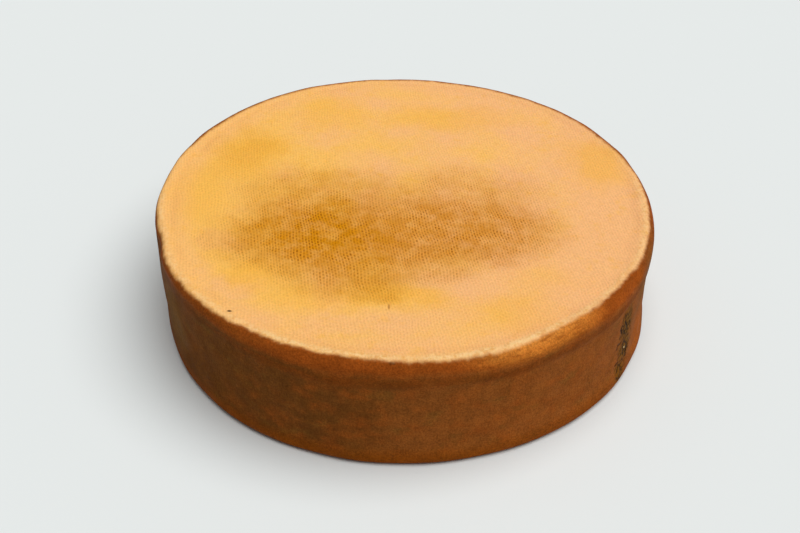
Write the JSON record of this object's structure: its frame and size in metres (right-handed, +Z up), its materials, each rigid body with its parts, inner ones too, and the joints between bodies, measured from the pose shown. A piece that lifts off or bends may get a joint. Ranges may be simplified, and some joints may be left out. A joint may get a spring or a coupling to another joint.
{
  "type": "cheese wheel",
  "caption": "Whole round of vacherin fribourgeois, a semi-hard cheese, with a cloth-marked orange rind, a worn rim and a slightly hollow heel; it rests on its flat lower face.",
  "frame": {"origin": "middle of the flat lower face, at the height of the surface the wheel stands on", "axes": "+Z up along the wheel's axis; -Y is the front of the wheel, as the picture shows it; +X is its right"},
  "size_m": [0.3432, 0.3438, 0.0857],
  "materials": {
    "rind": "natural smear-ripened rind, orange-brown, satin, with a fine cloth imprint on the faces"
  },
  "bodies": {
    "root": {"wheel": "rind"}
  },
  "joints": []
}
